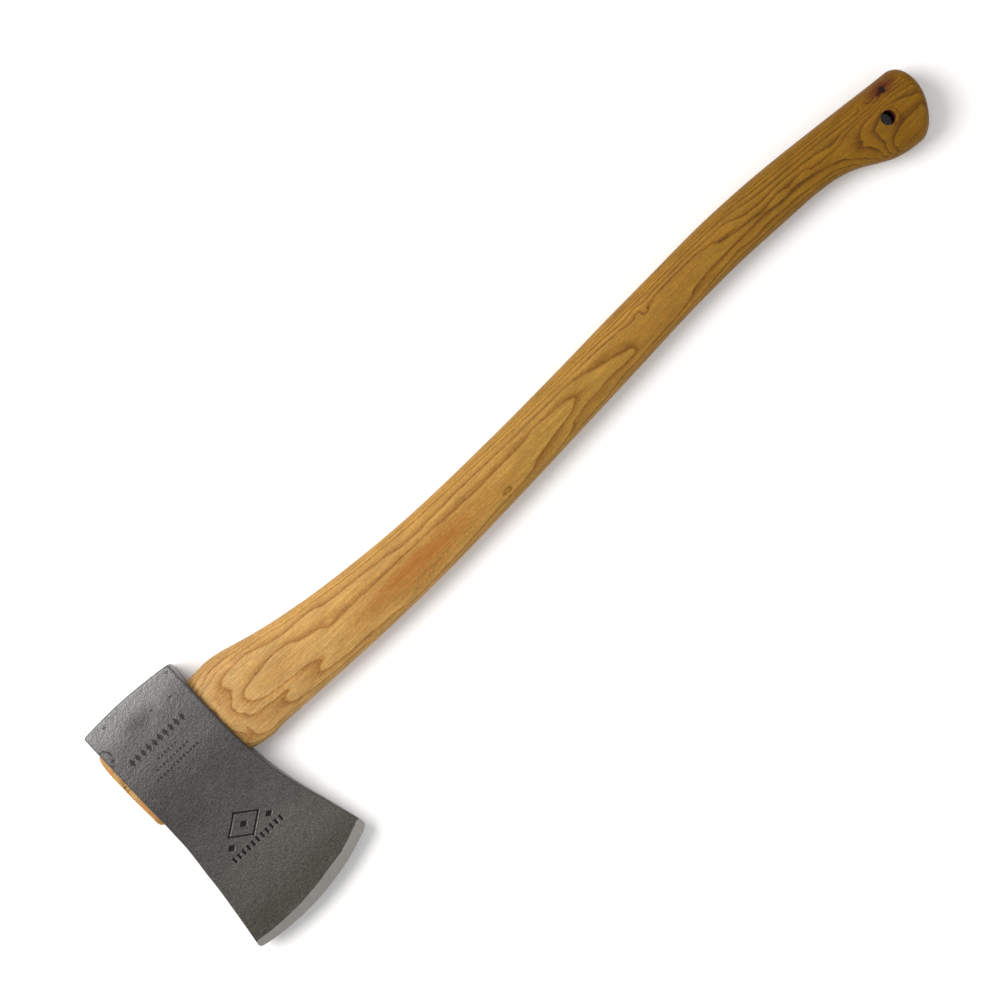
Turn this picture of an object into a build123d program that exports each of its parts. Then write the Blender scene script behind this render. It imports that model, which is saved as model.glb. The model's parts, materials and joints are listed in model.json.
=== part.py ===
"""Single-bit felling axe lying on its cheek: forged steel head, curved hickory haft, wooden wedge, steel ring wedge.

Frame, in millimetres: the head is at the -X end and the haft runs to its knob at +X, the poll faces +Y, the cutting
edge faces -Y, and +Z goes up through the upper cheek.  The origin is at the bottom centre of the bounding box.
Stations along the haft and heights above the edge are given from the centre of the eye, which stands at EYE_X,
EYE_Y, MID_Z in that frame.
"""

from build123d import *

import os
from math import cos, hypot, pi, radians, sin, tan

# ---------------------------------------------------------------- where the eye's centre stands in the frame
EYE_X = -309.35
EYE_Y = 42.15
MID_Z = 15.53  # the plane of symmetry: half the greatest thickness of the head

# ---------------------------------------------------------------- head
# height above the eye's centre, toe side, heel side, half thickness at the middle, radius of the arrises
HEAD_ROWS = [
    (56.0, 37.6, 37.6, 12.8, 2.0),
    (30.0, 37.8, 37.5, 14.7, 1.6),
    (5.0, 37.8, 37.4, 15.5, 1.4),
    (-15.0, 37.8, 37.5, 14.9, 1.4),
    (-32.0, 37.8, 38.6, 12.9, 1.4),
    (-52.0, 38.6, 41.5, 9.9, 1.4),
    (-72.0, 40.7, 46.1, 7.2, 1.3),
    (-92.0, 43.1, 52.1, 5.1, 1.1),
    (-112.0, 46.0, 57.7, 3.4, 0.9),
    (-131.0, 49.0, 62.9, 1.9, 0.6),
    (-146.0, 51.4, 66.6, 1.5, 0.4),
]
CROWN_RADIUS = 2100.0  # each cheek is rounded this much from toe to heel
POLL_PEAK = (-12.0, 51.4)  # the poll's face is a little rounded in plan, highest towards the toe
POLL_RADIUS = 352.0
POLL_ROUNDING = 1.5
EDGE_RADIUS = 181.0
EDGE_CENTRE = (-12.5, 45.3)
BEVEL_HALF_ANGLE = 15.0
EDGE_LAND = 0.3  # thickness left along the very edge
TOE_RADIUS = 2.5
HEEL_RADIUS = 4.5

# ---------------------------------------------------------------- haft: station, back edge, front edge, thickness
TONGUE = [
    (-41.6, 35.2, -28.4, 21.8),
    (-20.0, 33.2, -28.8, 20.4),
    (2.0, 31.7, -29.4, 19.8),
    (24.0, 31.2, -30.2, 20.2),
    (38.5, 31.3, -31.0, 20.9),
]
HAFT = [
    (42.0, 31.5, -32.2, 22.1),
    (47.0, 31.7, -33.3, 23.2),
    (55.0, 32.0, -34.5, 24.6),
    (67.0, 30.3, -34.0, 25.1),
    (80.0, 26.9, -34.3, 25.3),
    (100.0, 22.1, -34.8, 25.1),
    (125.0, 17.6, -35.5, 24.8),
    (155.0, 13.8, -36.2, 24.4),
    (190.0, 10.8, -36.1, 24.2),
    (230.0, 8.9, -35.0, 24.0),
    (270.0, 8.7, -33.2, 23.9),
    (310.0, 9.5, -30.9, 23.8),
    (350.0, 10.9, -28.4, 23.6),
    (400.0, 13.1, -25.2, 23.5),
    (450.0, 15.0, -21.9, 23.3),
    (500.0, 16.3, -20.4, 23.1),
    (545.0, 15.1, -21.5, 23.0),
    (572.0, 13.0, -22.7, 23.2),
    (588.0, 11.6, -25.2, 23.9),
    (600.0, 10.5, -29.3, 24.8),
    (612.0, 9.4, -35.8, 26.4),
    (622.0, 8.5, -40.9, 28.2),
    (632.0, 7.5, -43.7, 29.4),
    (643.0, 6.4, -45.0, 30.0),
    (655.0, 5.3, -45.4, 30.1),
    (667.0, 4.3, -45.6, 30.0),
    (680.0, 3.2, -45.6, 30.0),
]
SECTION_POWER = 2.35  # every section is a superellipse of this power
SECTION_POINTS = 20
SECTION_EGG = 0.07  # the back of the haft is this much fuller than the front
KNOB_END = [(658.8, 9.0), (664.4, 1.5), (667.5, -11.0), (663.8, -27.0), (657.1, -37.5), (645.5, -50.0)]
KNOB_ROUNDING = 5.6
KNOB_THICK = 30.0
EYE_GAP = 0.1  # between the tongue and the wall of the eye

HOLE_X = 636.4
HOLE_Y = -18.4
HOLE_RADIUS = 4.8
HOLE_FLARE = 0.4

# ---------------------------------------------------------------- wedges
WEDGE_TOP = 6.4  # thickness of the wooden wedge at the end of the tongue
WEDGE_TIP = 1.6
WEDGE_DEPTH = 50.0
KERF_DEPTH = 56.0
WEDGE_GAP = 0.05
RING_RADIUS = 7.5
RING_WALL = 1.8
RING_TIP_WALL = 0.6
RING_DEPTH = 18.0
CHECK_Y = 8.2  # a drying check across the end of the tongue
CHECK_WIDTH = 0.5
CHECK_DEPTH = 6.0

# ---------------------------------------------------------------- plain stamp on the upper cheek
STAMP_CENTRE = (0.4, -64.0)
STAMP_DEPTH = 0.5
STAMP_LINE = 1.2
LOZENGE = (13.5, 9.6)  # half width and half height
SMALL_LOZENGE = (3.0, 2.2)
SMALL_LOZENGE_PLACES = [(0.0, 0.0), (-17.0, -6.5), (17.0, -6.5)]
BAR_COUNT = 11
BAR_PITCH = 4.2
BAR_SIZE = (1.7, 3.6)
BAR_ROW = -14.0


def haft_section(station, back, front, thickness, grow=0.0):
    """The haft's section at a station, on a plane that faces along the haft, made larger all round by grow."""
    half_height = (back - front) / 2 + grow
    half_thick = thickness / 2 + grow
    place = Plane(origin=(EYE_X + station, EYE_Y + (back + front) / 2, MID_Z), x_dir=(0, 1, 0), z_dir=(1, 0, 0))
    outline = []
    for i in range(SECTION_POINTS):
        turn = 2 * pi * (i + 0.5) / SECTION_POINTS
        along = abs(cos(turn)) ** (2 / SECTION_POWER) * (1 if cos(turn) > 0 else -1)
        across = abs(sin(turn)) ** (2 / SECTION_POWER) * (1 if sin(turn) > 0 else -1)
        outline.append((half_height * along, half_thick * across * (1 + SECTION_EGG * along)))
    with BuildSketch(place) as drawn:
        with BuildLine():
            Spline(*outline, periodic=True)
        make_face()
    return drawn.sketch


def head_row(height, toe, heel, half, arris):
    """The head's section at a height: flat sides at toe and heel, crowned cheeks, rounded arrises."""
    place = Plane(origin=(EYE_X, EYE_Y + height, MID_Z), x_dir=(1, 0, 0), z_dir=(0, -1, 0))
    middle = (heel - toe) / 2
    side = half - ((heel + toe) / 2) ** 2 / (2 * CROWN_RADIUS)
    with BuildSketch(place) as drawn:
        with BuildLine():
            ThreePointArc((-toe, side), (middle, half), (heel, side))
            Line((heel, side), (heel, -side))
            ThreePointArc((heel, -side), (middle, -half), (-toe, -side))
            Line((-toe, -side), (-toe, side))
        make_face()
        fillet(drawn.vertices(), arris)
    return drawn.sketch


def corner_centre(side, radius):
    """Centre of the arc that rounds a corner of the edge, tangent to the blade's side and to the edge's arc."""
    upper, lower = HEAD_ROWS[-3], HEAD_ROWS[-2]
    column = 1 if side < 0 else 2
    start = (side * upper[column], upper[0])
    run = (side * lower[column] - start[0], lower[0] - start[1])
    run = (run[0] / hypot(*run), run[1] / hypot(*run))
    inward = (run[1] * side, -run[0] * side)  # square to the side, towards the middle of the blade
    base = (start[0] + inward[0] * radius - EDGE_CENTRE[0], start[1] + inward[1] * radius - EDGE_CENTRE[1])
    along = base[0] * run[0] + base[1] * run[1]
    reach = (EDGE_RADIUS - radius) ** 2 - base[0] ** 2 - base[1] ** 2
    slide = -along + (along**2 + reach) ** 0.5
    centre = (EDGE_CENTRE[0] + base[0] + run[0] * slide, EDGE_CENTRE[1] + base[1] + run[1] * slide)
    return centre, inward, run


def lozenge(half_wide, half_tall, middle=(0.0, 0.0)):
    """Corners of a lozenge about its middle."""
    u, v = middle
    return [(u + half_wide, v), (u, v + half_tall), (u - half_wide, v), (u, v - half_tall)]


# ================================================================ head
with BuildPart() as axe_head:
    for row in HEAD_ROWS:
        add(head_row(*row))
    loft()

    # poll
    with BuildSketch(Plane.XY):
        peak = Vector(EYE_X + POLL_PEAK[0], EYE_Y + POLL_PEAK[1])
        reach = 60
        fall = POLL_RADIUS - (POLL_RADIUS**2 - reach**2) ** 0.5
        with BuildLine():
            ThreePointArc(peak + (-reach, -fall), peak, peak + (reach, -fall))
            Polyline(peak + (reach, -fall), peak + (reach, 10), peak + (-reach, 10), peak + (-reach, -fall))
        make_face()
    extrude(amount=2 * MID_Z, mode=Mode.SUBTRACT)
    poll_rim = axe_head.faces().sort_by(Axis.Y)[-1].edges()
    fillet(poll_rim, POLL_ROUNDING)

    # rounded corners of the edge
    for side, radius in ((-1, TOE_RADIUS), (1, HEEL_RADIUS)):
        centre, inward, run = corner_centre(side, radius)
        centre = Vector(EYE_X + centre[0], EYE_Y + centre[1])
        outward = Vector(-inward[0], -inward[1]) * radius
        down = (centre - Vector(EYE_X + EDGE_CENTRE[0], EYE_Y + EDGE_CENTRE[1])).normalized() * radius
        with BuildSketch(Plane.XY):
            with BuildLine():
                Polyline(
                    centre + outward, centre + outward * 3, centre + (outward + down) * 4, centre + down * 3,
                    centre + down,
                )
                ThreePointArc(
                    centre + down, centre + (outward + down).normalized() * radius, centre + outward
                )
            make_face()
        extrude(amount=2 * MID_Z, mode=Mode.SUBTRACT)

    # cutting edge: both ground bevels at once, as one body turned about the edge's centre
    with BuildSketch(Plane.XZ.offset(-EYE_Y - EDGE_CENTRE[1])):
        slope = tan(radians(BEVEL_HALF_ANGLE))
        centre_x = EYE_X + EDGE_CENTRE[0]
        with BuildLine():
            Polyline(
                (centre_x, MID_Z + EDGE_LAND / 2 + slope * EDGE_RADIUS),
                (centre_x + EDGE_RADIUS, MID_Z + EDGE_LAND / 2),
                (centre_x + EDGE_RADIUS, MID_Z - EDGE_LAND / 2),
                (centre_x, MID_Z - EDGE_LAND / 2 - slope * EDGE_RADIUS),
                close=True,
            )
        make_face()
    revolve(axis=Axis((centre_x, EYE_Y + EDGE_CENTRE[1], 0), (0, 0, 1)), mode=Mode.INTERSECT)

    # eye, made to the tongue
    for station, back, front, thickness in TONGUE:
        add(haft_section(station, back, front, thickness, EYE_GAP))
    loft(mode=Mode.SUBTRACT)

    # plain stamp, struck square to the cheek
    above, below = HEAD_ROWS[5], HEAD_ROWS[6]
    lean = (above[3] - below[3]) / (above[0] - below[0])
    stamp_z = MID_Z + above[3] + lean * (STAMP_CENTRE[1] - above[0])
    stamp_plane = Plane(
        origin=(EYE_X + STAMP_CENTRE[0], EYE_Y + STAMP_CENTRE[1], stamp_z), x_dir=(1, 0, 0), z_dir=(0, -lean, 1)
    )
    with BuildSketch(stamp_plane.offset(1)):
        inner = 1 - STAMP_LINE * hypot(1 / LOZENGE[0], 1 / LOZENGE[1])
        with BuildLine():
            Polyline(*lozenge(*LOZENGE), close=True)
        make_face()
        with BuildLine():
            Polyline(*lozenge(LOZENGE[0] * inner, LOZENGE[1] * inner), close=True)
        make_face(mode=Mode.SUBTRACT)
        for place in SMALL_LOZENGE_PLACES:
            with BuildLine():
                Polyline(*lozenge(*SMALL_LOZENGE, place), close=True)
            make_face()
        with Locations(*[((i - (BAR_COUNT - 1) / 2) * BAR_PITCH, BAR_ROW) for i in range(BAR_COUNT)]):
            Rectangle(*BAR_SIZE)
    extrude(amount=-(1 + STAMP_DEPTH), mode=Mode.SUBTRACT)

# ================================================================ wedges
slot_start = EYE_X + TONGUE[0][0]
wedge_slope = (WEDGE_TOP - WEDGE_TIP) / 2 / WEDGE_DEPTH
kerf_tip = WEDGE_TIP / 2 + WEDGE_GAP
ring_y = EYE_Y + (TONGUE[0][1] + TONGUE[0][2]) / 2
ring_axis = Axis((slot_start, ring_y, MID_Z), (1, 0, 0))


def wedge_outline(grow, depth):
    """The wooden wedge seen along its width, as closed corners in station and height."""
    top = WEDGE_TOP / 2 + grow
    tip = WEDGE_TIP / 2 + grow
    corners = [(slot_start, MID_Z - top), (slot_start + WEDGE_DEPTH, MID_Z - tip)]
    if depth > WEDGE_DEPTH:
        corners += [(slot_start + depth, MID_Z - tip), (slot_start + depth, MID_Z + tip)]
    return corners + [(slot_start + WEDGE_DEPTH, MID_Z + tip), (slot_start, MID_Z + top)]


def ring_outline(grow):
    """Half of the ring wedge's section, from its axis: parallel outside, thinner towards the tip inside."""
    outer = RING_RADIUS + grow
    return [
        (slot_start, ring_y + outer),
        (slot_start + RING_DEPTH + grow, ring_y + outer),
        (slot_start + RING_DEPTH + grow, ring_y + RING_RADIUS - RING_TIP_WALL - grow),
        (slot_start, ring_y + RING_RADIUS - RING_WALL - grow),
    ]


with BuildPart() as ring_wedge:
    with BuildSketch(Plane.XY.offset(MID_Z)):
        with BuildLine():
            Polyline(*ring_outline(0), close=True)
        make_face()
    revolve(axis=ring_axis)

with BuildPart() as wood_wedge:
    # as wide as the tongue, a little inside its outline
    for station, back, front, thickness in TONGUE:
        add(haft_section(station, back, front, thickness, -0.4))
    loft()
    with BuildSketch(Plane.XZ.offset(-EYE_Y - 60)):
        with BuildLine():
            Polyline(*wedge_outline(0, WEDGE_DEPTH), close=True)
        make_face()
    extrude(amount=120, mode=Mode.INTERSECT)
    # groove for the ring
    with BuildSketch(Plane.XY.offset(MID_Z)):
        with BuildLine():
            Polyline(*ring_outline(WEDGE_GAP), close=True)
        make_face()
    revolve(axis=ring_axis, mode=Mode.SUBTRACT)

# ================================================================ haft
with BuildPart() as haft:
    for station in TONGUE:
        add(haft_section(*station))
    loft()
    for station in TONGUE[-1:] + HAFT:
        add(haft_section(*station))
    loft()

    # knob end
    with BuildSketch(Plane.XY):
        with BuildLine():
            end = Spline(*[(EYE_X + x, EYE_Y + y) for x, y in KNOB_END])
            Polyline(end @ 1, (EYE_X + 700, EYE_Y - 60), (EYE_X + 700, EYE_Y + 20), end @ 0)
        make_face()
    extrude(amount=2 * MID_Z, mode=Mode.SUBTRACT)
    knob_rim = haft.faces().sort_by(Axis.X)[-1].edges()
    fillet(knob_rim, KNOB_ROUNDING)

    # hang hole, flared a little at both mouths
    hole_top = MID_Z + KNOB_THICK / 2 - 0.1
    with BuildSketch(Plane.XZ.offset(-EYE_Y - HOLE_Y)):
        hole_x = EYE_X + HOLE_X
        flare = HOLE_RADIUS + HOLE_FLARE
        with BuildLine():
            Polyline(
                (hole_x, hole_top + 2),
                (hole_x + flare + 2, hole_top + 2),
                (hole_x + HOLE_RADIUS, hole_top - HOLE_FLARE),
                (hole_x + HOLE_RADIUS, 2 * MID_Z - hole_top + HOLE_FLARE),
                (hole_x + flare + 2, 2 * MID_Z - hole_top - 2),
                (hole_x, 2 * MID_Z - hole_top - 2),
                close=True,
            )
        make_face()
    revolve(axis=Axis((hole_x, EYE_Y + HOLE_Y, 0), (0, 0, 1)), mode=Mode.SUBTRACT)

    # kerf for the wooden wedge
    with BuildSketch(Plane.XZ.offset(-EYE_Y - 60)):
        with BuildLine():
            Polyline(*wedge_outline(WEDGE_GAP, KERF_DEPTH), close=True)
        make_face()
    extrude(amount=120, mode=Mode.SUBTRACT)

    # groove for the ring
    with BuildSketch(Plane.XY.offset(MID_Z)):
        with BuildLine():
            Polyline(*ring_outline(WEDGE_GAP), close=True)
        make_face()
    revolve(axis=ring_axis, mode=Mode.SUBTRACT)

    # drying check
    with BuildSketch(Plane.YZ.offset(slot_start)):
        with Locations((EYE_Y + CHECK_Y, MID_Z + 8)):
            Rectangle(CHECK_WIDTH, 10)
    extrude(amount=CHECK_DEPTH, mode=Mode.SUBTRACT)

# ================================================================ labels and files
axe_head.part.label = "axe_head"
haft.part.label = "haft"
wood_wedge.part.label = "wood_wedge"
ring_wedge.part.label = "ring_wedge"

os.makedirs("parts", exist_ok=True)
export_step(axe_head.part, "parts/axe_head.step")
export_step(haft.part, "parts/haft.step")
export_step(wood_wedge.part, "parts/wood_wedge.step")
export_step(ring_wedge.part, "parts/ring_wedge.step")

whole = Compound([axe_head.part, haft.part, wood_wedge.part, ring_wedge.part]).bounding_box()
print("box", whole, "centre", whole.center())
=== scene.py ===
import json
from math import cos, hypot, pi, radians, sin, tan

import bmesh
import bpy
import numpy as np
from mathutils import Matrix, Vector, noise


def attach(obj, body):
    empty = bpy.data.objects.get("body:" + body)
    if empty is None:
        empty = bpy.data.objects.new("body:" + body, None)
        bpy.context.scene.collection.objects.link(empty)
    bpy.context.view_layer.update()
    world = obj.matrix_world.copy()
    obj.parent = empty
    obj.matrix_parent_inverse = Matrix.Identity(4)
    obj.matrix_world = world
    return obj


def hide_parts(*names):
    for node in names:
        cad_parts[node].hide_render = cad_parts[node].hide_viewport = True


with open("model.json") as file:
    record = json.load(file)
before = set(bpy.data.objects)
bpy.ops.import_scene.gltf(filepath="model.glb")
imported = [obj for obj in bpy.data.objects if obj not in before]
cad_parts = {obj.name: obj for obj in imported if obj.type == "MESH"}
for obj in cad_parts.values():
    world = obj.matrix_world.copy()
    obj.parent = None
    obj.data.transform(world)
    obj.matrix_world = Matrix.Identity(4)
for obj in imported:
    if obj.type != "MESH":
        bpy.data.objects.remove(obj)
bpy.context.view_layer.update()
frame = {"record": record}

# Everything is modelled in millimetres from the centre of the eye: x along the haft to the knob, y to the
# poll, z square to the cheeks.  The hang hole's mount says where that is in the frame.
VIEW_X, VIEW_Y = 273.5, -25.1  # the middle of the view
HOLE_X, HOLE_Y, HOLE_R = 636.4, -18.4, 4.8
hole_mount = next(m for m in frame["record"]["mounts"] if m["name"] == "hang_hole")
EYE = np.array(hole_mount["pos_m"]) - np.array([HOLE_X, HOLE_Y, 0.0]) / 1000


def to_frame(points):
    return EYE + np.asarray(points, float) / 1000


# ---------------------------------------------------------------- curves and noise
def curve(xs, ys):
    """A smooth function through the given points, with a steady slope past both ends."""
    xs, ys = np.array(xs, float), np.array(ys, float)
    if xs[0] > xs[-1]:
        xs, ys = xs[::-1], ys[::-1]
    step = np.diff(xs)
    rise = np.diff(ys) / step
    slope = np.empty_like(xs)
    slope[1:-1] = (rise[:-1] * step[1:] + rise[1:] * step[:-1]) / (step[1:] + step[:-1])
    slope[0], slope[-1] = rise[0], rise[-1]

    def value(x):
        x = np.asarray(x, float)
        i = np.clip(np.searchsorted(xs, x) - 1, 0, len(step) - 1)
        h = step[i]
        t = (x - xs[i]) / h
        inside = np.clip(t, 0, 1)
        a, b = inside * inside * (3 - 2 * inside), inside
        y = ys[i] + (ys[i + 1] - ys[i]) * a
        y += h * slope[i] * (b**3 - 2 * b**2 + b) + h * slope[i + 1] * (b**3 - b**2)
        y += np.where(t < 0, slope[i] * t * h, 0) + np.where(t > 1, slope[i + 1] * (t - 1) * h, 0)
        return y

    return value


def smooth_step(lo, hi, x):
    t = np.clip((np.asarray(x, float) - lo) / (hi - lo), 0, 1)
    return t * t * (3 - 2 * t)


def wave(points, size, seed, octaves=2):
    """Smooth noise of about -1 to 1 at each point; size is its grain in mm along x, y and z."""
    points = np.asarray(points, float) / np.asarray(size, float)
    shift = Vector((seed * 7.31, seed * 3.17, seed * 5.71))
    total = np.zeros(len(points))
    for octave in range(octaves):
        total += [noise.noise(Vector(p) * 2**octave + shift) * 0.5**octave for p in points]
    return total


# ---------------------------------------------------------------- meshes
def mesh_object(name, points, faces, materials, face_material=None):
    mesh = bpy.data.meshes.new(name)
    mesh.from_pydata([tuple(p) for p in to_frame(points)], [], faces)
    for material in materials:
        mesh.materials.append(material)
    if face_material is not None:
        mesh.polygons.foreach_set("material_index", np.asarray(face_material, np.int32))
    mesh.validate()
    bm = bmesh.new()
    bm.from_mesh(mesh)
    bmesh.ops.remove_doubles(bm, verts=bm.verts, dist=2e-6)
    bmesh.ops.recalc_face_normals(bm, faces=bm.faces)
    bm.to_mesh(mesh)
    bm.free()
    obj = bpy.data.objects.new(name, mesh)
    bpy.context.scene.collection.objects.link(obj)
    return obj


def loops_to_faces(rows, columns):
    """Quads between closed loops of points that lie one after another."""
    faces = []
    for r in range(rows - 1):
        for c in range(columns):
            d = (c + 1) % columns
            faces.append((r * columns + c, r * columns + d, (r + 1) * columns + d, (r + 1) * columns + c))
    return faces


def capped_faces(rows, columns):
    """Those quads, and a face over each end."""
    last = (rows - 1) * columns
    ends = [tuple(range(columns)), tuple(range(last, last + columns))]
    return loops_to_faces(rows, columns) + ends


def cut(obj, cutter):
    """Takes the cutter's volume out of the object for good; the new faces wear the cutter's material."""
    step = obj.modifiers.new("cut", "BOOLEAN")
    step.operation, step.object, step.solver = "DIFFERENCE", cutter, "EXACT"
    step.material_mode = "TRANSFER"
    graph = bpy.context.evaluated_depsgraph_get()
    left = obj.evaluated_get(graph)
    made = bpy.data.meshes.new_from_object(left, preserve_all_data_layers=True, depsgraph=graph)
    obj.modifiers.clear()
    old, obj.data = obj.data, made
    bpy.data.meshes.remove(old)
    spent = cutter.data
    bpy.data.objects.remove(cutter)
    bpy.data.meshes.remove(spent)


def finish_shading(obj, angle):
    for polygon in obj.data.polygons:
        polygon.use_smooth = True
    obj.data.set_sharp_from_angle(angle=radians(angle))


def points_of(obj):
    """The mesh's points in mm from the eye's centre."""
    co = np.empty(len(obj.data.vertices) * 3)
    obj.data.vertices.foreach_get("co", co)
    return (co.reshape(-1, 3) - EYE) * 1000


def paint(obj, name, values):
    layer = obj.data.attributes.new(name, "FLOAT", "POINT")
    layer.data.foreach_set("value", np.asarray(values, np.float32))


# ---------------------------------------------------------------- node helpers
class Nodes:
    """Short ways to build a material's node tree."""

    def __init__(self, name):
        self.material = bpy.data.materials.new(name)
        self.material.use_nodes = True
        self.tree = self.material.node_tree
        self.shader = self.tree.nodes["Principled BSDF"]
        self.position = self.node("ShaderNodeTexCoord").outputs["Object"]
        self.split = self.node("ShaderNodeSeparateXYZ")
        self.plug(self.split.inputs[0], self.position)

    def node(self, kind, **settings):
        made = self.tree.nodes.new(kind)
        for key, value in settings.items():
            setattr(made, key, value)
        return made

    def plug(self, socket, value):
        if hasattr(value, "is_output"):
            self.tree.links.new(value, socket)
        else:
            socket.default_value = value

    def math(self, operation, a, b=0.0):
        made = self.node("ShaderNodeMath", operation=operation)
        for socket, value in zip(made.inputs, (a, b)):
            self.plug(socket, value)
        return made.outputs[0]

    def attribute(self, name):
        return self.node("ShaderNodeAttribute", attribute_name=name).outputs["Fac"]

    def place(self, axis):
        """Coordinate along an axis, in mm from the eye's centre."""
        away = self.math("SUBTRACT", self.split.outputs[axis], float(EYE[axis]))
        return self.math("MULTIPLY", away, 1000.0)

    def stretched(self, x, y, z):
        """Coordinates in mm, divided by a size along each axis."""
        made = self.node("ShaderNodeMapping")
        self.plug(made.inputs["Vector"], self.position)
        made.inputs["Scale"].default_value = (1000 / x, 1000 / y, 1000 / z)
        return made.outputs[0]

    def noise(self, vector, detail=2.0, roughness=0.5, distortion=0.0):
        made = self.node("ShaderNodeTexNoise")
        self.plug(made.inputs["Vector"], vector)
        made.inputs["Scale"].default_value = 1.0
        made.inputs["Detail"].default_value = detail
        made.inputs["Roughness"].default_value = roughness
        made.inputs["Distortion"].default_value = distortion
        return made.outputs["Fac"]

    def remap(self, value, lo, hi, to_lo=0.0, to_hi=1.0):
        made = self.node("ShaderNodeMapRange")
        names = ("Value", "From Min", "From Max", "To Min", "To Max")
        for key, v in zip(names, (value, lo, hi, to_lo, to_hi)):
            self.plug(made.inputs[key], v)
        return made.outputs[0]

    def ramp(self, value, stops):
        made = self.node("ShaderNodeValToRGB")
        self.plug(made.inputs[0], value)
        points = made.color_ramp.elements
        while len(points) < len(stops):
            points.new(0.5)
        for point, (place, colour) in zip(points, stops):
            point.position, point.color = place, (*colour, 1)
        return made.outputs[0]

    def mix(self, factor, a, b, blend="MIX"):
        made = self.node("ShaderNodeMix", data_type="RGBA", blend_type=blend)
        self.plug(made.inputs["Factor"], factor)
        for socket, value in ((made.inputs[6], a), (made.inputs[7], b)):
            self.plug(socket, (*value, 1) if isinstance(value, tuple) else value)
        return made.outputs[2]

    def blot(self, x, y, reach_x, reach_y, feather=0.25):
        """How far a point lies from a spot on the upper face, in its own reach; noise frays its outline."""
        squares = 0.0
        for axis, spot, reach in ((0, x, reach_x), (1, y, reach_y)):
            away = self.math("DIVIDE", self.math("SUBTRACT", self.place(axis), spot), reach)
            squares = self.math("ADD", self.math("POWER", away, 2.0), squares)
        fray = self.math("SUBTRACT", self.noise(self.stretched(4, 1.2, 1.2), detail=3), 0.5)
        far = self.math("ADD", self.math("SQRT", squares), self.math("MULTIPLY", fray, 4 * feather))
        below = self.math("LESS_THAN", self.place(2), 0.0)
        return self.math("ADD", far, self.math("MULTIPLY", below, 10.0))

    def grey(self, value):
        """A value as a colour to multiply by."""
        made = self.node("ShaderNodeCombineColor")
        for socket in made.inputs:
            self.plug(socket, value)
        return made.outputs[0]

    def bump(self, height, distance, strength):
        made = self.node("ShaderNodeBump")
        self.plug(made.inputs["Height"], height)
        made.inputs["Distance"].default_value = distance / 1000
        made.inputs["Strength"].default_value = strength
        return made.outputs[0]

    def out(self, **sockets):
        for key, value in sockets.items():
            self.plug(self.shader.inputs[key.replace("_", " ")], value)
        return self.material


def srgb(r, g, b):
    """A colour given as 0-255 screen values, made linear."""
    return tuple(((v / 255 + 0.055) / 1.055) ** 2.4 if v > 10 else v / 255 / 12.92 for v in (r, g, b))


# ---------------------------------------------------------------- materials
# colour of the wood through one ring, 0 to 1; the late wood is at the end
RING_TONES = [
    (0.0, (196, 142, 82)),
    (0.05, (216, 170, 110)),
    (0.12, (221, 177, 117)),
    (0.40, (217, 171, 110)),
    (0.65, (212, 164, 102)),
    (0.82, (206, 155, 94)),
    (0.92, (197, 144, 84)),
    (0.98, (187, 131, 73)),
]
# tint of the wood from the shoulder (0) to the knob (1): oiled and handled wood, with painted shade where the
# light falls off towards the knob
AGE_TINT_AND_FALLOFF_SHADE = [
    (0.0, (0.67, 0.66, 0.60)),
    (0.14, (0.69, 0.66, 0.50)),
    (0.31, (0.63, 0.58, 0.35)),
    (0.48, (0.53, 0.48, 0.22)),
    (0.65, (0.45, 0.375, 0.130)),
    (0.82, (0.345, 0.283, 0.050)),
    (0.95, (0.295, 0.222, 0.012)),
    (1.0, (0.29, 0.227, 0.012)),
]
# colour of the head from below the edge (0) to the poll (1), with painted light and shade along it up to a
# painted highlight at the poll
HEAD_TONES_WITH_PAINTED_LIGHT = [
    (0.0, (0.072, 0.067, 0.054)),
    (0.16, (0.072, 0.067, 0.054)),
    (0.26, (0.095, 0.089, 0.080)),
    (0.50, (0.083, 0.077, 0.074)),
    (0.60, (0.071, 0.066, 0.064)),
    (0.76, (0.078, 0.074, 0.072)),
    (0.86, (0.082, 0.079, 0.079)),
    (0.96, (0.152, 0.152, 0.152)),
]
# small marks on the wood: place, half length, half width, colour
MARKS = [
    (646.6, -1.9, 1.9, 2.3, (4, 4, 5)),  # dead knot
    (642.6, -2.2, 2.2, 1.3, (52, 8, 8)),
    (-41.0, 7.9, 1.9, 0.45, (60, 32, 12)),  # drying check at the end of the tongue
    (-40.0, 4.6, 2.6, 0.4, (128, 76, 30)),  # a dark line under it, and patches
    (-40.8, 21.6, 1.6, 1.7, (178, 118, 68)),
    (-40.0, -14.5, 3.5, 9.5, (178, 128, 75)),
    (-40.4, -24.0, 2.4, 2.6, (160, 116, 55)),
    (283.6, -24.2, 1.0, 1.1, (118, 78, 14)),  # dark end of the pin knot, and its tail
    (277.4, -24.2, 1.5, 0.5, (140, 96, 44)),
]
# pits and nicks in the upper cheek: place, half length, half width
PITS = [
    (-33.3, 26, 1.3, 0.8), (-36.2, 23.5, 0.8, 1.2), (-22.5, 46, 1.1, 0.6), (8.2, 33.4, 0.7, 0.6),
    (23.8, 31, 0.9, 0.8), (33, 44.5, 1.2, 0.5),
]
# the printed band's place, and its rows: height in it, pitch, a figure's half length and half height, reach
BAND_X, BAND_Y = -2.2, 16.2
BAND_ROWS = [
    (0.0, 5.0, 1.9, 3.3, 24.9), (-9.6, 3.0, 1.1, 0.9, 9.0), (-14.8, 3.0, 1.2, 1.0, 15.0),
    (-20.0, 3.0, 1.2, 1.0, 19.5),
]


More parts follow.
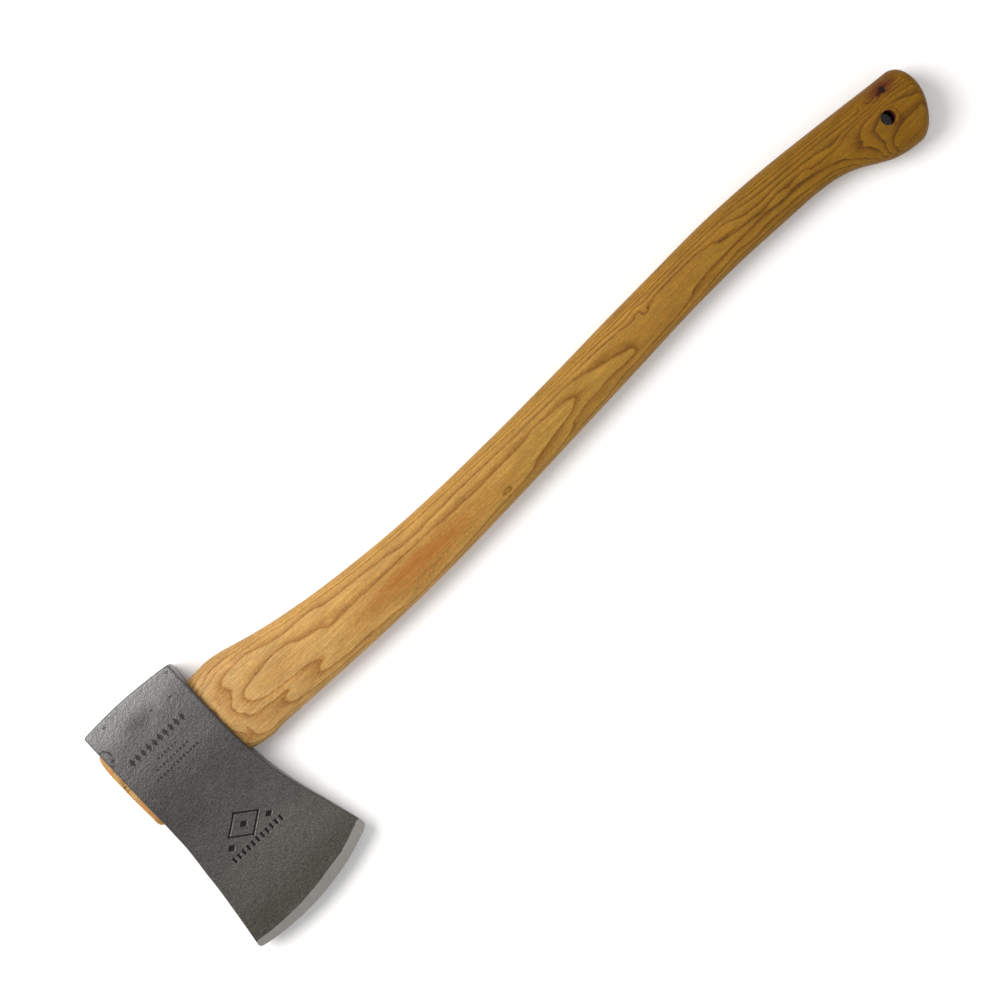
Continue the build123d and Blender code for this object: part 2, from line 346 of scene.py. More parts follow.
def wood_shade(n, ring, phase, along):
    """How light the wood is at each point, with its fibres and its pores."""
    # each year's wood has its own shade
    year = n.node("ShaderNodeTexWhiteNoise", noise_dimensions="1D")
    n.plug(year.inputs["W"], n.math("FLOOR", ring))
    shade = n.remap(year.outputs[0], 0, 1, 0.95, 1.04)
    # fibres, strands, mottle and the fine cross flecks of hickory
    fibre = n.noise(n.stretched(12, 0.32, 0.32), detail=4, roughness=0.65)
    strand = n.noise(n.stretched(20, 1.0, 1.0), detail=3, roughness=0.6)
    mottle = n.noise(n.stretched(24, 5, 5), detail=3)
    fleck = n.noise(n.stretched(1.7, 1.1, 1.4), detail=2, roughness=0.6)
    for grain, lo, hi in (
        (fibre, 0.86, 1.12), (strand, 0.79, 1.17), (mottle, 0.87, 1.11), (fleck, 0.82, 1.16),
    ):
        shade = n.math("MULTIPLY", shade, n.remap(grain, 0.28, 0.72, lo, hi))
    # the late wood stands out here and there, and more towards the knob
    late_wood = n.math("MULTIPLY", n.remap(phase, 0.62, 0.95), n.remap(along, 0.15, 0.8, 0.04, 0.28))
    uneven = n.remap(n.noise(n.stretched(30, 5, 5), detail=1), 0.35, 0.65, 0.3, 1.5)
    late_wood = n.math("MULTIPLY", late_wood, uneven)
    shade = n.math("MULTIPLY", shade, n.math("SUBTRACT", 1.0, late_wood))
    # pores, as short dark dashes that crowd along the rings
    pore = n.noise(n.stretched(3.2, 0.5, 0.5), detail=1)
    crowded = n.math("MULTIPLY", n.remap(pore, 0.54, 0.64), n.remap(phase, 0.55, 0.92))
    scattered = n.math("MULTIPLY", n.remap(pore, 0.66, 0.74), 0.5)
    pores = n.math("MAXIMUM", crowded, scattered)
    shade = n.math("MULTIPLY", shade, n.remap(pores, 0, 1, 1.0, 0.62))
    return shade, fibre, pores


def stained(n, colour):
    """A brown streaky stain, browned wood and a red halo at the dead knot, small marks and a pin knot."""
    streak = n.noise(n.stretched(16, 1.1, 1.1), detail=3)
    around = n.remap(n.blot(206, -17.5, 62, 9.5), 1.15, 0.35)
    stain = n.math("MULTIPLY", around, n.remap(streak, 0.3, 0.65, 0.45, 0.95))
    colour = n.mix(stain, colour, srgb(151, 91, 33))
    browned = n.remap(n.blot(645.5, 1.0, 15, 7.5, 0.3), 1.2, 0.3, 0.0, 0.5)
    colour = n.mix(browned, colour, srgb(104, 54, 17))
    halo = n.remap(n.blot(646.5, -0.8, 12, 5, 0.35), 1.2, 0.1, 0.0, 0.95)
    colour = n.mix(halo, colour, srgb(70, 14, 6))
    for x, y, long, wide, tone in MARKS:
        spot = n.remap(n.blot(x, y, long, wide), 1.3, 0.8, 0.0, 0.9)
        colour = n.mix(spot, colour, srgb(*tone))
    pin = n.blot(281.5, -24, 2.9, 1.35, 0.06)
    colour = n.mix(n.remap(pin, 1.7, 1.1, 0.0, 0.6), colour, srgb(96, 60, 18))
    return n.mix(n.remap(pin, 1.0, 0.8, 0.0, 0.8), colour, srgb(150, 106, 34))


def wood_material(name):
    """Oiled hickory, painted from two fields on the mesh: the ring's number and the place along the haft."""
    n = Nodes(name)
    ring, along = n.attribute("ring"), n.attribute("along")
    for sizes, amount in (((20, 1.8, 1.8), 0.09), ((4, 0.4, 0.4), 0.08)):
        waver = n.math("SUBTRACT", n.noise(n.stretched(*sizes), detail=2), 0.5)
        ring = n.math("ADD", ring, n.math("MULTIPLY", waver, amount))
    phase = n.math("FRACT", ring)
    colour = n.ramp(phase, [(place, srgb(*tone)) for place, tone in RING_TONES])
    shade, fibre, pores = wood_shade(n, ring, phase, along)
    colour = n.mix(1.0, colour, n.grey(shade), "MULTIPLY")
    # oiled and handled towards the knob, with painted shade of the light falling off there: darker and more
    # olive
    colour = n.mix(1.0, colour, n.ramp(along, AGE_TINT_AND_FALLOFF_SHADE), "MULTIPLY")
    height = n.math("SUBTRACT", n.math("MULTIPLY", fibre, 0.3), pores)
    return n.out(
        Base_Color=stained(n, colour),
        Roughness=n.remap(fibre, 0.2, 0.8, 0.42, 0.58),
        Normal=n.bump(height, 0.05, 0.7),
        Specular_IOR_Level=0.15,
    )


def bored_material(name):
    """The wall of the hang hole: end grain, dark with oil and handling, and darker still as painted shade in
    the deep bore.
    """
    n = Nodes(name)
    fibre = n.noise(n.stretched(5, 0.5, 0.5), detail=3)
    return n.out(
        Base_Color=n.ramp(fibre, [(0.3, srgb(58, 20, 14)), (0.7, srgb(92, 38, 26))]),
        Roughness=0.7,
        Normal=n.bump(fibre, 0.06, 0.8),
        Specular_IOR_Level=0.2,
    )


def forged_material(name, dark=1.0, printed=False):
    """Black-lacquered forging scale, paler towards the poll as a painted highlight."""
    n = Nodes(name)
    peel = n.noise(n.stretched(1.1, 1.1, 1.4), detail=2, roughness=0.5, distortion=0.4)
    leather = n.noise(n.stretched(2.6, 2.2, 2.6), detail=2, roughness=0.5)
    hammer = n.noise(n.stretched(8, 7, 8), detail=2)
    patch = n.noise(n.stretched(34, 22, 30), detail=3)
    # the head's colour along its height, with painted light and shade up to a painted highlight at the poll
    tone = n.ramp(n.remap(n.place(1), -150, 55), HEAD_TONES_WITH_PAINTED_LIGHT)
    shade = n.math("MULTIPLY", n.remap(patch, 0.3, 0.7, 0.92, 1.08), n.remap(peel, 0.3, 0.7, 0.70, 1.34))
    colour = n.mix(1.0, tone, n.grey(n.math("MULTIPLY", shade, dark)), "MULTIPLY")
    surface = n.math("ADD", n.math("MULTIPLY", peel, 0.9), n.math("MULTIPLY", leather, 0.7))
    surface = n.math("ADD", surface, n.math("MULTIPLY", hammer, 0.35))
    if printed:
        # painted shade: darker towards the toe and in the hollow under the poll
        toe_painted_shade = n.remap(n.place(0), -42, 0, 0.86, 1.0)
        hollow_painted_shade = n.remap(n.blot(-2.5, 34, 16, 7.5, 0.05), 1.1, 0.3, 1.0, 0.58)
        colour = n.mix(1.0, colour, n.grey(n.math("MULTIPLY", toe_painted_shade, hollow_painted_shade)), "MULTIPLY")
        colour = n.mix(printed_band(n), colour, srgb(30, 28, 28))
        scars = scar_marks(n)
        colour = n.mix(n.math("MULTIPLY", scars, 0.42), colour, srgb(26, 25, 25))
        surface = n.math("SUBTRACT", surface, n.math("MULTIPLY", scars, 1.3))
    return n.out(
        Base_Color=colour,
        Metallic=0.75,
        Roughness=n.remap(peel, 0.3, 0.7, 0.36, 0.50),
        Normal=n.bump(surface, 0.30, 0.95),
    )


def scar_marks(n):
    """A curved lap in the forging near the toe side of the eye, and the pits."""
    rim = n.math("ABSOLUTE", n.math("SUBTRACT", n.blot(-37, 30, 5.6, 6, 0.09), 1.0))
    total = n.remap(rim, 0.10, 0.03)
    for axis, limit in ((0, -38.0), (1, 29.0)):
        total = n.math("MULTIPLY", total, n.math("GREATER_THAN", n.place(axis), limit))
    for pit in PITS:
        total = n.math("MAXIMUM", total, n.remap(n.blot(*pit, 0.3), 1.2, 0.7))
    return total


def printed_band(n):
    """Plain printed ornament on the upper cheek: a row of lozenges over three thin dashed rules."""
    u = n.math("SUBTRACT", n.place(0), BAND_X)
    v = n.math("SUBTRACT", n.place(1), BAND_Y)
    total = 0.0
    for row_v, pitch, half_u, half_v, reach in BAND_ROWS:
        cell = n.math("SUBTRACT", n.math("FRACT", n.math("DIVIDE", n.math("ADD", u, reach), pitch)), 0.5)
        aside = n.math("MULTIPLY", n.math("ABSOLUTE", cell), pitch / half_u)
        off = n.math("DIVIDE", n.math("ABSOLUTE", n.math("SUBTRACT", v, row_v)), half_v)
        figure = n.remap(n.math("ADD", aside, off), 1.12, 0.88)
        figure = n.math("MULTIPLY", figure, n.math("LESS_THAN", n.math("ABSOLUTE", u), reach))
        total = n.math("MAXIMUM", figure, total)
    worn = n.remap(n.noise(n.stretched(1.4, 1.4, 1.4), detail=2), 0.28, 0.5, 0.35, 0.9)
    above = n.math("GREATER_THAN", n.place(2), 5.0)
    return n.math("MULTIPLY", n.math("MULTIPLY", total, above), worn)


def ground_material(name, light=1.0):
    n = Nodes(name)
    scratch = n.noise(n.stretched(0.30, 5.0, 5.0), detail=4, roughness=0.7)
    colour = n.ramp(scratch, [
        (0.3, (0.27 * light, 0.255 * light, 0.235 * light)),
        (0.7, (0.37 * light, 0.35 * light, 0.325 * light)),
    ])
    return n.out(
        Base_Color=colour,
        Metallic=0.9,
        Roughness=n.remap(scratch, 0.3, 0.7, 0.36, 0.50),
        Normal=n.bump(scratch, 0.03, 0.6),
    )


hickory = wood_material("hickory")
wedge_wood = wood_material("wedge_wood")
bored = bored_material("bored_wood")
forged = forged_material("forged_steel", printed=True)
stamped = forged_material("stamped_steel", 0.14)
# painted highlight: the lighter steel of the stamp's rims that face the light
painted_highlight_rim = forged_material("painted_highlight_rim", 2.2)
ground = ground_material("ground_steel")
plain_steel = ground_material("wedge_steel", 1.3)

# ---------------------------------------------------------------- haft
# station, back edge, front edge, thickness
HAFT = np.array([
    (-41.6, 35.2, -28.4, 21.8), (-20.0, 33.2, -28.8, 20.4), (2.0, 31.7, -29.4, 19.8),
    (24.0, 31.2, -30.2, 20.2), (38.5, 31.3, -31.0, 20.9), (42.0, 31.5, -32.2, 22.1),
    (47.0, 31.7, -33.3, 23.2), (55.0, 32.0, -34.5, 24.6), (67.0, 30.3, -34.0, 25.1),
    (80.0, 26.9, -34.3, 25.3), (100.0, 22.1, -34.8, 25.1), (125.0, 17.6, -35.5, 24.8),
    (155.0, 13.8, -36.2, 24.4), (190.0, 10.8, -36.1, 24.2), (230.0, 8.9, -35.0, 24.0),
    (270.0, 8.7, -33.2, 23.9), (310.0, 9.5, -30.9, 23.8), (350.0, 10.9, -28.4, 23.6),
    (400.0, 13.1, -25.2, 23.5), (450.0, 15.0, -21.9, 23.3), (500.0, 16.3, -20.4, 23.1),
    (545.0, 15.1, -21.5, 23.0), (572.0, 13.0, -22.7, 23.2), (588.0, 11.6, -25.2, 23.9),
    (600.0, 10.5, -29.3, 24.8), (612.0, 9.4, -35.8, 26.4), (622.0, 8.5, -40.9, 28.2),
    (632.0, 7.5, -43.7, 29.4), (643.0, 6.4, -45.0, 30.0), (655.0, 5.3, -45.4, 30.1),
    (667.0, 4.3, -45.6, 30.0), (680.0, 3.2, -45.6, 30.0),
])
back_at, front_at, thick_at = (curve(HAFT[:, 0], HAFT[:, i]) for i in (1, 2, 3))
knob_end = curve([9.0, 1.5, -11.0, -27.0, -37.5, -50.0], [658.8, 664.4, 667.5, 663.8, 657.1, 645.5])
POWER, EGG = 2.35, 0.07  # of the section: how square it is, and how much fuller at the back
TONGUE_END, EYE_FAR = -41.6, 38.5
TONGUE_HALF_Y, TONGUE_HALF_Z = 32.0, 11.0
END_ROUND_X, END_ROUND_Z = 3.2, 1.8
KNOB_ROUND, KNOB_MIDDLE_Y, KNOB_HALF_Y, KNOB_HALF_Z = 5.6, -20.0, 25.0, 15.0
KNOB_RUN = 50.0  # the stretch where the loops lean over to the knob's end
HAFT_AROUND, HAFT_STEP = 116, 1.25  # points round a loop, and between loops
UPRIGHT_FROM, UPRIGHT_TO = -37.2, 606.0  # the stretch where they stand square
SANDED = 0.22  # how far the skin is out of true


def section_at(x, turn, grow=0.0):
    """y and z of the haft's skin at a station and a turn round it from the back."""
    high = (back_at(x) - front_at(x)) / 2 + grow
    half = thick_at(x) / 2 + grow
    along = np.abs(np.cos(turn)) ** (2 / POWER) * np.sign(np.cos(turn))
    across = np.abs(np.sin(turn)) ** (2 / POWER) * np.sign(np.sin(turn))
    return (back_at(x) + front_at(x)) / 2 + high * along, half * across * (1 + EGG * along)


def even_turns(count):
    """Turns whose points stand evenly round a section of the haft."""
    turn = np.linspace(0, 2 * pi, 2001)
    y, z = section_at(230.0, turn)
    run = np.concatenate([[0], np.cumsum(np.hypot(np.diff(y), np.diff(z)))])
    return np.interp(np.arange(count) / count * run[-1], run, turn)


def end_round_y(offset):
    """How far the rim is drawn in along y: more on the back edge than on the front."""
    return 8.0 + 2.5 * np.sign(offset)


def end_plane(y):
    return TONGUE_END - 0.011 * y


def end_inset(depth):
    """How much of the rounding is left at a depth behind the end of the tongue, from 1 to 0."""
    return 1 - np.sqrt(1 - np.clip(1 - depth / END_ROUND_X, 0, 1) ** 2)


def tongue_loops(turn):
    """The tongue's end, sawn a little out of square, with its rim rounded off."""
    whole_y, whole_z = section_at(TONGUE_END, turn)
    middle = (back_at(TONGUE_END) + front_at(TONGUE_END)) / 2
    rim_y, rim_z = end_round_y(whole_y - middle) / TONGUE_HALF_Y, END_ROUND_Z / TONGUE_HALF_Z
    loops = []
    for share in (0.04, 0.12, 0.24, 0.36, 0.48, 0.60, 0.72, 0.84, 0.93):
        y = middle + (whole_y - middle) * share * (1 - rim_y)
        loops.append(np.stack([end_plane(y), y, whole_z * share * (1 - rim_z)], 1))
    for angle in np.linspace(0, pi / 2, 10):
        depth = END_ROUND_X * (1 - cos(angle))
        left = end_inset(depth)
        y = middle + (whole_y - middle) * (1 - rim_y * left)
        loops.append(np.stack([end_plane(y) + depth, y, whole_z * (1 - rim_z * left)], 1))
    return loops


def knob_loops(turn, start):
    """Loops that lean over until they follow the knob's end, then close in over its rounding."""
    loops = []
    for share in np.linspace(0, 1, 46)[1:]:
        x = np.full(len(turn), start + share * KNOB_RUN)
        for _ in range(12):
            y, z = section_at(x, turn)
            x = start + share * (knob_end(y) - KNOB_ROUND - start)
        loops.append(np.stack([x, y, z], 1))
    rim = loops[-1]
    for angle in np.linspace(0, pi / 2, 9)[1:]:
        inset = KNOB_ROUND * (1 - cos(angle))
        y = KNOB_MIDDLE_Y + (rim[:, 1] - KNOB_MIDDLE_Y) * (1 - inset / KNOB_HALF_Y)
        z = rim[:, 2] * (1 - inset / KNOB_HALF_Z)
        loops.append(np.stack([knob_end(y) - KNOB_ROUND * (1 - sin(angle)), y, z], 1))
    last = loops[-1]
    for share in (0.94, 0.86, 0.76, 0.64, 0.52, 0.40, 0.28, 0.16, 0.05):
        y = KNOB_MIDDLE_Y + (last[:, 1] - KNOB_MIDDLE_Y) * share
        loops.append(np.stack([knob_end(y), y, last[:, 2] * share], 1))
    return loops


def make_haft():
    turn = even_turns(HAFT_AROUND)
    stations = np.arange(UPRIGHT_FROM, UPRIGHT_TO, HAFT_STEP)
    loops = tongue_loops(turn)
    for x in stations:
        y, z = section_at(x, turn)
        loops.append(np.stack([np.full(len(turn), x), y, z], 1))
    loops += knob_loops(turn, stations[-1])
    points = np.concatenate(loops)
    # hand-sanded: the skin is never quite true
    shift = SANDED * wave(points, (60, 22, 22), 3) * smooth_step(44, 60, points[:, 0])
    centre_y = (back_at(points[:, 0]) + front_at(points[:, 0])) / 2
    out = np.stack([np.zeros(len(points)), (points[:, 1] - centre_y) / 22, points[:, 2] / 12], 1)
    points = points + out * shift[:, None]
    return mesh_object("haft_wood", points, capped_faces(len(loops), len(turn)), [hickory])


def hole_cutter():
    """Turned about the hang hole's axis, flared at both mouths."""
    mouth = thick_at(HOLE_X) / 2 - 0.1
    flare = [(2.1, 1.8), (0.45, 0.15), (0.15, -0.3), (0.0, -0.8)]
    profile = [(HOLE_R + wider, mouth + above) for wider, above in flare]
    profile += [(radius, -height) for radius, height in profile[::-1]]
    sides = 72
    turns = [2 * pi * i / sides for i in range(sides)]
    points = [(HOLE_X + r * cos(a), HOLE_Y + r * sin(a), h) for r, h in profile for a in turns]
    return mesh_object("hole_cutter", points, capped_faces(len(profile), sides), [bored])


# wooden wedge across the thickness of the tongue, ring wedge driven over it
WEDGE_HALF, WEDGE_TIP, WEDGE_LONG, KERF_LONG = 3.2, 0.8, 50.0, 56.0
RING_R, RING_WALL, RING_TIP, RING_LONG = 7.5, 1.8, 0.6, 18.0
RING_Y = 3.4


def eye_section(x):
    """The nearest station inside the eye."""
    return min(max(x, TONGUE_END), EYE_FAR)


def make_wedge(name, grow, end, length, materials):
    """The wedge's own shape, or its kerf when it is grown a little and longer."""
    near = [end + END_ROUND_X * (1 - cos(angle)) for angle in np.linspace(0.2, pi / 2, 8)]
    far = np.linspace(TONGUE_END + 4.5, TONGUE_END + length, 24)
    stations = np.concatenate([[end], [] if grow else near, far])
    steps = np.linspace(-1, 1, 33)
    loops = []
    for x in stations:
        share = min(max((x - TONGUE_END) / WEDGE_LONG, 0.0), 1.0)
        half = WEDGE_HALF + (WEDGE_TIP - WEDGE_HALF) * share + grow
        back, front = back_at(eye_section(x)), front_at(eye_section(x))
        middle, high = (back + front) / 2, (back - front) / 2 + (4 if grow else -0.3)
        inset = 0 if grow else end_inset(x - end) / TONGUE_HALF_Y
        upper = [(x, middle + high * t * (1 - end_round_y(t) * inset), half) for t in steps]
        lower = [(x, y, -half) for _, y, _ in upper[::-1]]
        loops.append(upper + lower)
    return mesh_object(name, np.concatenate(loops), capped_faces(len(loops), len(loops[0])), materials)


def make_ring(name, grow, end, materials):
    """A thin-walled tube, parallel outside and thinner towards its driven end."""
    tip = TONGUE_END + RING_LONG + grow
    outer, inner, inner_tip = RING_R + grow, RING_R - RING_WALL - grow, RING_R - RING_TIP - grow
    chamfer = 0.25 if grow == 0 else 0.0
    profile = [
        (inner_tip, tip), (inner, end + chamfer), (inner + chamfer, end), (outer - chamfer, end),
        (outer, end + chamfer), (outer, (end + tip) / 2), (outer, tip),
    ]
    sides = 64
    turns = [2 * pi * i / sides for i in range(sides)]
    points = [(x, RING_Y + r * cos(a), r * sin(a)) for r, x in profile for a in turns]
    last = (len(profile) - 1) * sides
    faces = loops_to_faces(len(profile), sides)
    faces += [(last + i, last + (i + 1) % sides, (i + 1) % sides, i) for i in range(sides)]
    return mesh_object(name, points, faces, materials)


CHECKS = [(8.2, 5.0, 3.5), (-15.5, 2.5, 4.0)]  # place, depth into the end, lowest height


def check_cutter(y, deep, low):
    """A drying check: a thin sliver, narrower inwards, from the tongue's skin down to a height."""
    plan = [(-46, y - 0.28), (-46, y + 0.28), (TONGUE_END + deep, y + 0.084), (TONGUE_END + deep, y - 0.084)]
    points = [(x, at_y, z) for z in (low, 14.0) for x, at_y in plan]
    return mesh_object("check", points, capped_faces(2, 4), [bored])


haft = make_haft()
cut(haft, hole_cutter())
cut(haft, make_wedge("kerf", 0.05, TONGUE_END - 6, KERF_LONG, [hickory]))
wood_wedge = make_wedge("wedge_wood", 0.0, end_plane(0.0), WEDGE_LONG, [wedge_wood])
for wood in (haft, wood_wedge):
    cut(wood, make_ring("groove", 0.06, TONGUE_END - 6, [hickory]))
ring_wedge = make_ring("wedge_ring", 0.0, end_plane(0.0) + 0.05, [plain_steel])
for check in CHECKS:
    cut(haft, check_cutter(*check))

# ---------------------------------------------------------------- the grain of the haft
# Growth rings lie roughly level and are pushed up or down as the tree grew.  Each row gives a ring and the
# places on the upper face, in x and y, where it comes to the surface; halves hold the wood between two rings.
RING_PITCH = 1.5
GRAIN = {
    1.5: [(640, -36), (655, -36)],
    1: [(634, -42.6), (630.4, -41), (628.6, -38.5), (628.4, -35.5), (630.4, -32), (634, -29.8),
        (640, -27.8), (650, -26.8), (658, -26.5), (664, -26)],
    0.5: [(100, -5), (160, -18), (190, -20), (210, -22), (235, -21), (262, -18), (292, -17), (638, -19),
        (332, -12)],
    0: [(59, -5), (60, -1), (66, 1), (80, 2.5), (94, 3.7), (105, 2), (110, -1), (122, -2.8), (129, -4.4),
        (136, -6.8), (145, -8.2), (160, -8.3), (180, -8.3), (200, -7.5), (222, -7.9), (240, -9),
        (262, -9), (290, -8.6), (308, -8), (322, -5.9), (340, -6.9), (352, -7.2), (358, -9.5), (355, -12),
        (347, -16), (330, -18.3), (318, -20.3), (310, -22.5), (300, -26), (280, -27.7), (255, -29.5),
        (235, -31.4), (205, -33), (183, -33), (175, -31), (150, -29.5), (130, -29.3), (114, -27),
        (112, -24.5), (116, -22), (119, -20), (110, -17), (90, -14.8), (70, -12.2), (62, -9), (631, -16),
        (627, -17.5), (625, -19.5), (624.6, -25), (623.6, -32), (624, -38), (626.6, -40.8), (651, -14),
        (657, -17), (665, -20)],
    -0.5: [(70, -15), (100, 6), (118, 3), (180, -4), (215, -5.3), (260, -5), (320, -3.5), (365, -8),
        (375, -12)],
    -1: [(53, 14), (52.5, 11), (57, 6), (52, 1), (48, -5), (52, -11), (62, -16), (80, -18), (85, -19),
        (80, -22), (82, -27.5), (95, -30), (125, -32.3), (150, -34), (60, 16.5), (78, 17.2), (88, 14),
        (95, 10.8), (110, 9), (127, 8.2), (138, 5), (150, 4), (168, 2.8), (180, 0.5), (190, 0),
        (203, -2.6), (211, -2.8), (220, -2.7), (240, -2.2), (262, -1.8), (282, -1.2), (310, -1.5),
        (340, -1), (362, -1), (371, -2), (377, -3.2), (382, -4.8), (388, -7), (395, -9.2), (402, -10.6),
        (407, -12.5), (407, -15), (398, -16.2), (380, -17.2), (360, -18.5), (346, -20.8), (340, -24.5),
        (325, -27.2), (295, -29.5), (614.2, -18.8), (618, -13), (626, -10.3), (645, -9.5), (660, -12),
        (616, -24), (618.7, -30), (620, -36.5), (622, -40)],
    -1.5: [(420, -8), (450, -5), (480, -4), (415, -14)],
    -1.7: [(39, 9), (39, -3), (40, -14), (425.5, -2.5)],
    -2: [(38, 17), (45, 19), (56, 21.5), (68, 21), (85, 19.3), (101, 16.5), (113, 13.5), (130, 11.8),
        (150, 9.5), (170, 7.2), (190, 5.5), (212, 4.2), (240, 3.9), (270, 3), (300, 2.4), (340, 2.8),
        (365, 2.6), (390, 2.4), (410, 1.8), (419, 0.9), (426, 2.2), (431, -1), (436, 1.5), (444, 2.8),
        (460, 3.5), (480, 3.3), (492, 1.5), (499, -1.8), (510, -4.2), (521, -5.5), (527, -7), (520, -8),
        (500, -9), (480, -10), (468, -12), (460, -15.3), (440, -17.8), (410, -20), (390, -21.5),
        (370, -24.7), (541, -6.5), (548, -4.7), (556, -6.5), (550, -9), (561, -6.5), (567, -5),
        (573, -6.8), (567, -8.5), (582, -11.5), (590, -10), (610, -7.3), (625, -6.8), (592, -15),
        (601, -21), (609, -27), (615, -33), (618.4, -37.6), (46, -23), (52, -30)],
    -3: [(39, 21), (45, 22.5), (60, 25), (72, 23.5), (90, 21), (110, 16.5), (130, 13.8), (170, 9.3),
        (212, 6.8), (415, 4.4), (428, 5.8), (436, 4.7), (462, 6), (490, 5.7), (507, 5.5), (516, 2.5),
        (524, 0), (540, -1.3), (560, -0.8), (580, -2.5), (592, -5.2), (600, -6.4), (617, -4.6),
        (632, -5.6), (470, -17.5), (490, -15.3), (505, -13.5), (519, -14.8), (530, -13.3), (555, -14.3),
        (570, -16.5), (592, -20.5), (603, -27.5), (611, -33)],
    -4: [(39, 25.5), (45, 27), (60, 28.6), (75, 25.5), (95, 21.2), (520, 7.5), (530, 5.5), (550, 3.7),
        (575, 2), (600, 0.5), (625, -2)],
}
# small swirls: place, reach along and across, and how many rings they add at their middle
WHORLS = [
    (640.6, -17.6, 3.4, 4.2, 3.2), (630.5, 0.6, 3.2, 2.4, 1.7), (645.5, -1.0, 4.5, 3.0, 1.4),
    (431.0, 0.8, 1.8, 1.8, -0.5), (425.8, 1.2, 1.8, 1.8, 0.12), (43.5, 6.0, 2.6, 5.0, 0.35),
    (46.5, -16.5, 2.4, 5.0, -0.45), (41.5, -25.0, 2.8, 3.5, 0.4), (134.5, -5.5, 3.5, 1.6, -0.5),
    (572.0, -6.8, 2.5, 1.5, 0.4),
]
ALONG = 3.2  # a ring runs on this much further along the haft than across it
SOFT, EASE = 1.0, 0.03  # how round the rings' bends are, and how loosely they are held
PARALLAX = 0.996  # from upper face to middle plane, as seen by the camera


def seen(x):
    """Where a place that the camera sees at x on the upper face stands along the haft."""
    return VIEW_X + (x - VIEW_X) * PARALLAX


def upper_skin(x, y):
    """Height of the haft's upper face over its middle plane."""
    high = (back_at(x) - front_at(x)) / 2
    along = np.clip((y - (back_at(x) + front_at(x)) / 2) / high, -1, 1)
    return thick_at(x) / 2 * (1 - np.abs(along) ** POWER) ** (1 / POWER) * (1 + EGG * along)


def ring_height(x, y, z):
    """The height that sets a point's ring; the knob's rounded front rim hardly counts."""
    full = np.clip(1.4 * z / np.maximum(upper_skin(x, y), 6), -1, 1) * thick_at(x) / 2
    return z + 0.7 * smooth_step(598, 614, x) * smooth_step(-8, -22, y) * (full - z)


def make_push():
    """How far the rings are pushed up at any x and y, so that they surface where GRAIN says."""
    held = np.array([(seen(x), y, ring) for ring, places in GRAIN.items() for x, y in places])
    held_x, held_y, ring = held.T
    size = len(held)

    def apart(x, y):
        """Distance of each point from each held one."""
        across = y[:, None] - held_y
        return np.sqrt(((x[:, None] - held_x) / ALONG) ** 2 + across**2 + SOFT)

    def slope(x, y):
        return np.stack([np.ones(len(x)), x / 100, y / 10], 1)

    wanted = ring * RING_PITCH - ring_height(held_x, held_y, upper_skin(held_x, held_y))
    system = np.zeros((size + 3, size + 3))
    system[:size, :size] = np.eye(size) * EASE - apart(held_x, held_y)
    system[:size, size:], system[size:, :size] = slope(held_x, held_y), slope(held_x, held_y).T
    weights = np.linalg.solve(system, np.concatenate([wanted, np.zeros(3)]))

    def push(x, y):
        pieces = 1 + len(x) // 8000
        total = np.concatenate([
            slope(*part) @ weights[size:] - apart(*part) @ weights[:size]
            for part in zip(np.array_split(x, pieces), np.array_split(y, pieces))
        ])
        for at_x, at_y, reach_x, reach_y, rings in WHORLS:
            far = ((x - seen(at_x)) / reach_x) ** 2 + ((y - at_y) / reach_y) ** 2
            total += RING_PITCH * rings * np.exp(-far)
        return total

    return push


push_at = make_push()


def paint_wood(obj):
    x, y, z = points_of(obj).T
    fine = 0.03 * wave(np.stack([x, y, z * 0.5], 1), (22, 3.0, 6), 31, 2)
    paint(obj, "ring", (ring_height(x, y, z) + push_at(x, y)) / RING_PITCH + fine + 40)
    paint(obj, "along", (x - 40) / 630)


paint_wood(haft)
paint_wood(wood_wedge)
finish_shading(haft, 40)
finish_shading(wood_wedge, 40)
finish_shading(ring_wedge, 30)

# ---------------------------------------------------------------- head
# height above the eye's centre, toe side, heel side, half thickness
HEAD = np.array([
    (56.0, 37.6, 37.6, 12.8), (30.0, 37.8, 37.5, 14.7), (5.0, 37.8, 37.4, 15.5), (-15.0, 37.8, 37.5, 14.9),
    (-32.0, 37.8, 38.6, 12.9), (-52.0, 38.6, 41.5, 9.9), (-72.0, 40.7, 46.1, 7.2), (-92.0, 43.1, 52.1, 5.1),
    (-112.0, 46.0, 57.7, 3.4), (-131.0, 49.0, 62.9, 1.9), (-146.0, 51.4, 66.6, 1.5),
])
toe_at, heel_at, half_at = (curve(HEAD[:, 0], HEAD[:, i]) for i in (1, 2, 3))
ARC_X, ARC_Y, ARC_R = -12.5, 45.3, 181.0  # of the cutting edge
POLL_X, POLL_Y, POLL_R = -12, 51.4, 352  # its highest place, and how round it is in plan
CROWN_X, CROWN_R = 4, 2100  # how round a cheek is from toe to heel
TOE_R, HEEL_R = 2.5, 4.5  # round the ends of the edge
SLOPE, LAND = tan(radians(15)), 0.15
HEAD_LONG, POLL_ROUND, ARRIS, POLL_WIDE = 180.0, 1.7, 1.5, 37.4
ACROSS, WALLS, ROUND_STEPS = 92, 22, 4  # points over a cheek, down a wall and round an arris
DENTS = [(-33.3, 26, 1.3, 0.35), (-22.5, 46, 1.0, 0.2), (24, 31, 1.1, 0.3)]  # place, size, depth


def poll_y(x):
    return POLL_Y - (x - POLL_X) ** 2 / (2 * POLL_R)


def arc_y(x):
    return ARC_Y - np.sqrt(ARC_R**2 - (x - ARC_X) ** 2)


